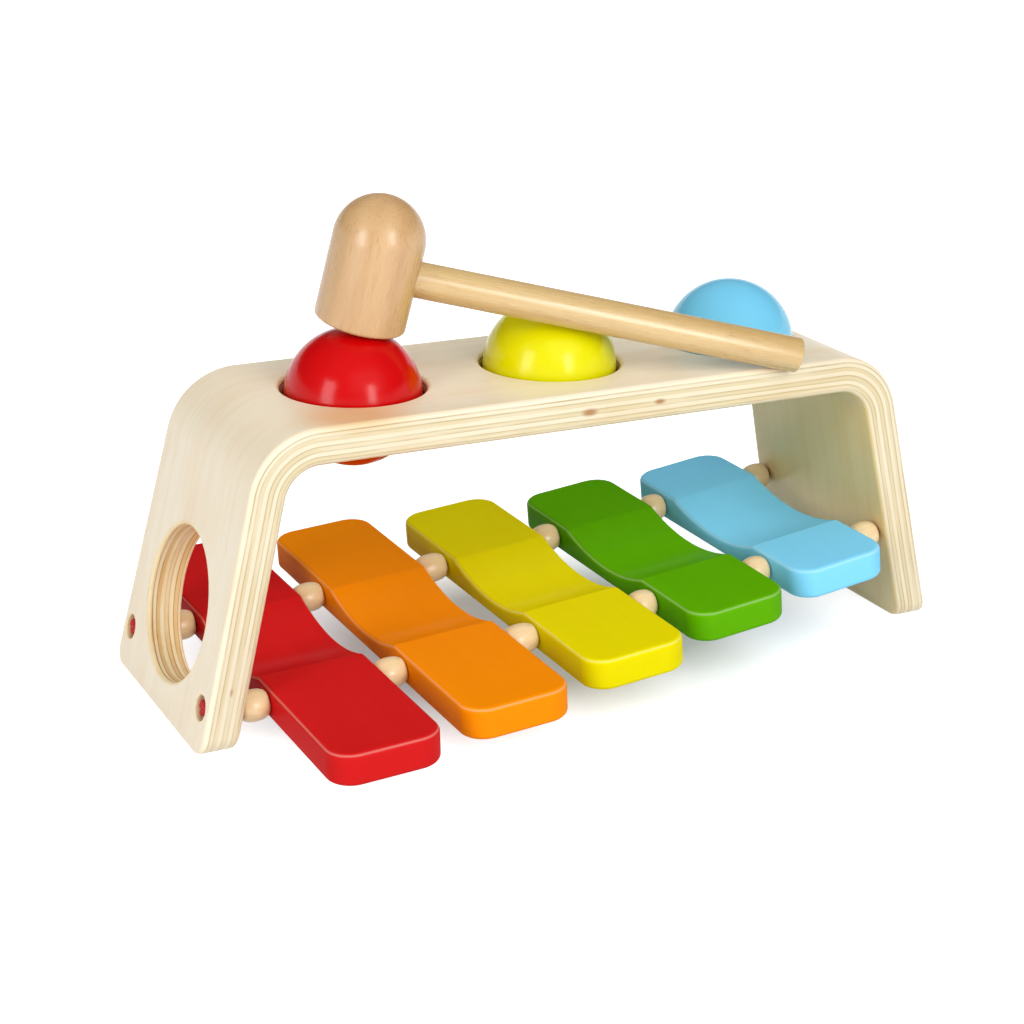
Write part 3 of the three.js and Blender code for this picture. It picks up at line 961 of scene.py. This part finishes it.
def make_cord(side, y, finish):
    beads = [Vector(joints[f"bead_{side}_{k}_spin"]["pos_m"]) for k in range(1, bead_count + 1)]
    knots = {end: cord_mouth(end, y, knot_sink) for end in (-1, 1)}
    path = smooth_path([knots[-1], cord_mouth(-1, y), *beads, cord_mouth(1, y), knots[1]], path_steps)
    curve = bpy.data.curves.new("cord_" + side, "CURVE")
    curve.dimensions = "3D"
    curve.bevel_depth = strand_radius
    curve.bevel_resolution = 3
    curve.use_fill_caps = True
    for strand in range(strand_count):
        add_strand(curve, laid_strand(path, strand), strand_radius)
    for end, knot in knots.items():
        add_strand(curve, knot_points(knot, outward[end]), knot_strand)
    cord = bpy.data.objects.new("laid_cord_" + side, curve)
    bpy.context.scene.collection.objects.link(cord)
    cord.data.materials.append(finish)
    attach(cord, "bench")
    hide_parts("cord_" + side)
    length = sum((b - a).length for a, b in zip(path, path[1:]))
    print(side, "cord length in mm:", round(length / MM, 1))


red_cord = cord_finish()
make_cord("front", -cord_y, red_cord)
make_cord("back", cord_y, red_cord)

# %% [markdown]
# The mallet lies across the bench with its face on the red ball and its handle on the front edge. Its directions could
# be typed in as angles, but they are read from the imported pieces: the handle's long axis, and the way from that axis
# to the top of the dome. So the mallet follows if the bench changes.

# %% Directions of the mallet
handle_points = vertices_of(frame["nodes"]["mallet_handle"])
handle_middle = handle_points.mean(axis=0)
along = np.linalg.svd(handle_points - handle_middle)[2][0]
along = Vector(along if along[0] > 0 else -along)
reach = (handle_points - handle_middle) @ np.array(along)
handle_butt = Vector(handle_middle) + along * float(reach.min())
handle_length = float(reach.max() - reach.min())
socket_depth = 8 * MM
crossing = handle_butt + along * socket_depth
head_points = vertices_of(frame["nodes"]["mallet_head"])
off_axis = head_points - np.array(crossing)
off_axis -= np.outer(off_axis @ np.array(along), np.array(along))
dome_tip = Vector(off_axis[np.argmax(np.linalg.norm(off_axis, axis=1))])
dome_rise = dome_tip.length
upward = dome_tip.normalized()
print("mallet dome in mm:", round(dome_rise / MM, 2), "handle in mm:", round(handle_length / MM, 2))

# %% [markdown]
# Head and handle are both turned, so each is one profile in its own axes, and the grain runs along those axes. The
# head has a flat face with a softened rim and a domed back. A blind socket is bored into its side for the handle, with
# a hair of room for the glue.

# %% Mallet head
head_radius = 14.9 * MM
face_drop = 17.6 * MM
face_rim = 1.1 * MM
handle_radius = 5.9 * MM
turn_steps = 6
dome_steps = 28
head_segments = 96
handle_segments = 72
socket_radius = handle_radius + 0.08 * MM
socket_floor = -0.2 * MM

head_profile = [(0, -face_drop)] + arc(head_radius - face_rim, face_rim - face_drop, face_rim, -90, 0, turn_steps)
head_profile += [(head_radius, 0)] + arc(0, dome_rise - head_radius, head_radius, 0, 90, dome_steps)[:-1]
head_profile += [(0, dome_rise)]
head = object_from("mallet_head_turned", turned_mesh(head_profile, head_segments), aimed(crossing, upward))
socket_profile = [(0, socket_floor), (socket_radius, socket_floor),
                  (socket_radius, 2 * handle_length), (0, 2 * handle_length)]
socket = object_from("cutter_socket", turned_mesh(socket_profile, handle_segments), aimed(handle_butt, along))
for wooden in (head, socket):
    wooden.data.materials.append(head_finish)
bore(head, [socket])
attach(head, "mallet")
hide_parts("mallet_head")
print("mallet head faces:", len(head.data.polygons))

# %% [markdown]
# The handle is a plain dowel. Its glued end has a small chamfer, and the free end a softened rim. A Cylinder from the
# Add menu with a Bevel modifier would do, but a profile gives the two ends their own shape in one go.

# %% Mallet handle
handle_rim = 0.7 * MM
butt_break = 0.4 * MM
dowel_steps = 6

handle_profile = [(0, 0), (handle_radius - butt_break, 0), (handle_radius, butt_break)]
handle_profile += [(handle_radius, handle_length * k / dowel_steps) for k in range(1, dowel_steps)]
handle_profile += arc(handle_radius - handle_rim, handle_length - handle_rim, handle_rim, 0, 90, turn_steps)
handle_profile += [(0, handle_length)]
handle = object_from("mallet_handle_turned", turned_mesh(handle_profile, handle_segments), aimed(handle_butt, along))
handle.data.materials.append(handle_finish)
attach(handle, "mallet")
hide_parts("mallet_handle")
print("mallet handle faces:", len(handle.data.polygons))

# %% [markdown]
# This is a white product picture. The floor could be lit until it clips to white, but that would bleach the toy as
# well. So the floor adds its own glow where the camera or a reflection sees it: little under the toy, where the shadow
# has to stay, and full white farther out. A low wall at its rim carries the white up past the horizon.

# %% Floor
floor_radius = 6
wall_height = 1.3
shadow_half = (0.138, 0.078)
glow_reach = 10
paper_tone = (0.47, 0.49, 0.51, 1)
glow_band = [(0.05, [0.3, 0.3, 0.3, 1]), (0.105, [0.95, 0.95, 0.95, 1]), (0.6, WHITE)]


def seen_directly(tree):
    """One where the camera looks at the surface itself, or at its mirror image."""
    path = node(tree, "ShaderNodeLightPath")
    seen = path.outputs["Is Camera Ray"]
    for kind in ("Is Glossy Ray", "Is Transmission Ray"):
        seen = calculated(tree, "MAXIMUM", seen, path.outputs[kind])
    return seen


def floor_finish():
    material, tree, shader = finish_tree("studio_floor")
    feed(tree, shader, {"Base Color": (0.8, 0.8, 0.8, 1), "Roughness": 0.9, "Specular IOR Level": 0.0})
    shrink = (1 / shadow_half[0], 1 / shadow_half[1], 0)
    oval = node(tree, "ShaderNodeVectorMath", {0: object_place(tree), 1: shrink}, operation="MULTIPLY").outputs[0]
    distance = node(tree, "ShaderNodeVectorMath", {0: oval}, operation="LENGTH").outputs["Value"]
    glow_colour = ramp(tree, scaled(tree, distance, 1 / glow_reach), glow_band)
    glow = node(tree, "ShaderNodeEmission", {"Color": glow_colour}).outputs[0]
    paper = node(tree, "ShaderNodeBsdfDiffuse", {"Color": paper_tone}).outputs[0]
    lit = node(tree, "ShaderNodeAddShader", {0: paper, 1: glow}).outputs[0]
    both = node(tree, "ShaderNodeMixShader", {0: seen_directly(tree), 1: shader.outputs[0], 2: lit}).outputs[0]
    feed(tree, tree.nodes["Material Output"], {"Surface": both})
    return material


floor = object_from("floor", turned_mesh([(0, 0), (2, 0), (floor_radius, 0), (floor_radius, wall_height)], 96))
floor.data.materials.append(floor_finish())
print("floor radius in m:", floor_radius)

# %% [markdown]
# The sky is a dim studio room, a little brighter behind the camera than in front of it. A plain grey would do for the
# light, but the slow change from dark to bright gives round pieces their form.

# %% Sky
sky_band = [(0.3, [0.05, 0.05, 0.05, 1]), (0.8, [0.32, 0.32, 0.32, 1])]
world = bpy.data.worlds.new("studio")
bpy.context.scene.world = world
world.use_nodes = True
sky = world.node_tree
heading = node(sky, "ShaderNodeTexCoord").outputs["Generated"]
facing = node(sky, "ShaderNodeVectorMath", {0: heading, 1: camera_back}, operation="DOT_PRODUCT").outputs["Value"]
turned_away = node(sky, "ShaderNodeMapRange", {"Value": facing, "From Min": -1}).outputs["Result"]
feed(sky, sky.nodes["Background"], {"Color": ramp(sky, turned_away, sky_band), "Strength": 1.0})
print("world:", world.name)

# %% [markdown]
# Two tall softboxes stand left and in front of the toy. Their reflections are the upright patches on every ball. Three
# broad fills, in front, above and behind, lift the shadows. They are hidden from reflections, so that the paint shows
# the two softboxes only.

# %% Lamps
lamp_aim = Vector((0, 0, 0.07))


def softbox(name, azimuth, elevation, distance, width, height, watts, mirrored=True):
    """Area lamp on a sphere about the bench, facing its middle; azimuth 0 is straight in front, 90 to the right."""
    lamp = bpy.data.lights.new(name, "AREA")
    lamp.shape = "RECTANGLE"
    lamp.size = width
    lamp.size_y = height
    lamp.energy = watts
    made = bpy.data.objects.new(name, lamp)
    a, e = math.radians(azimuth), math.radians(elevation)
    away = Vector((math.sin(a) * math.cos(e), -math.cos(a) * math.cos(e), math.sin(e)))
    made.location = lamp_aim + away * distance
    made.rotation_mode = "QUATERNION"
    made.rotation_quaternion = away.to_track_quat("Z", "Y")
    made.visible_glossy = mirrored
    bpy.context.scene.collection.objects.link(made)


softbox("softbox_left", azimuth=-68, elevation=17, distance=1.3, width=0.42, height=0.8, watts=6.1)
softbox("softbox_right", azimuth=6, elevation=18, distance=1.3, width=0.27, height=0.65, watts=4.6)
softbox("fill_front", azimuth=2, elevation=38, distance=1.4, width=1.4, height=1.0, watts=12, mirrored=False)
softbox("fill_above", azimuth=-30, elevation=84, distance=1.4, width=1.6, height=1.6, watts=3.2, mirrored=False)
softbox("fill_behind", azimuth=158, elevation=36, distance=1.4, width=1.2, height=1.0, watts=8.5, mirrored=False)
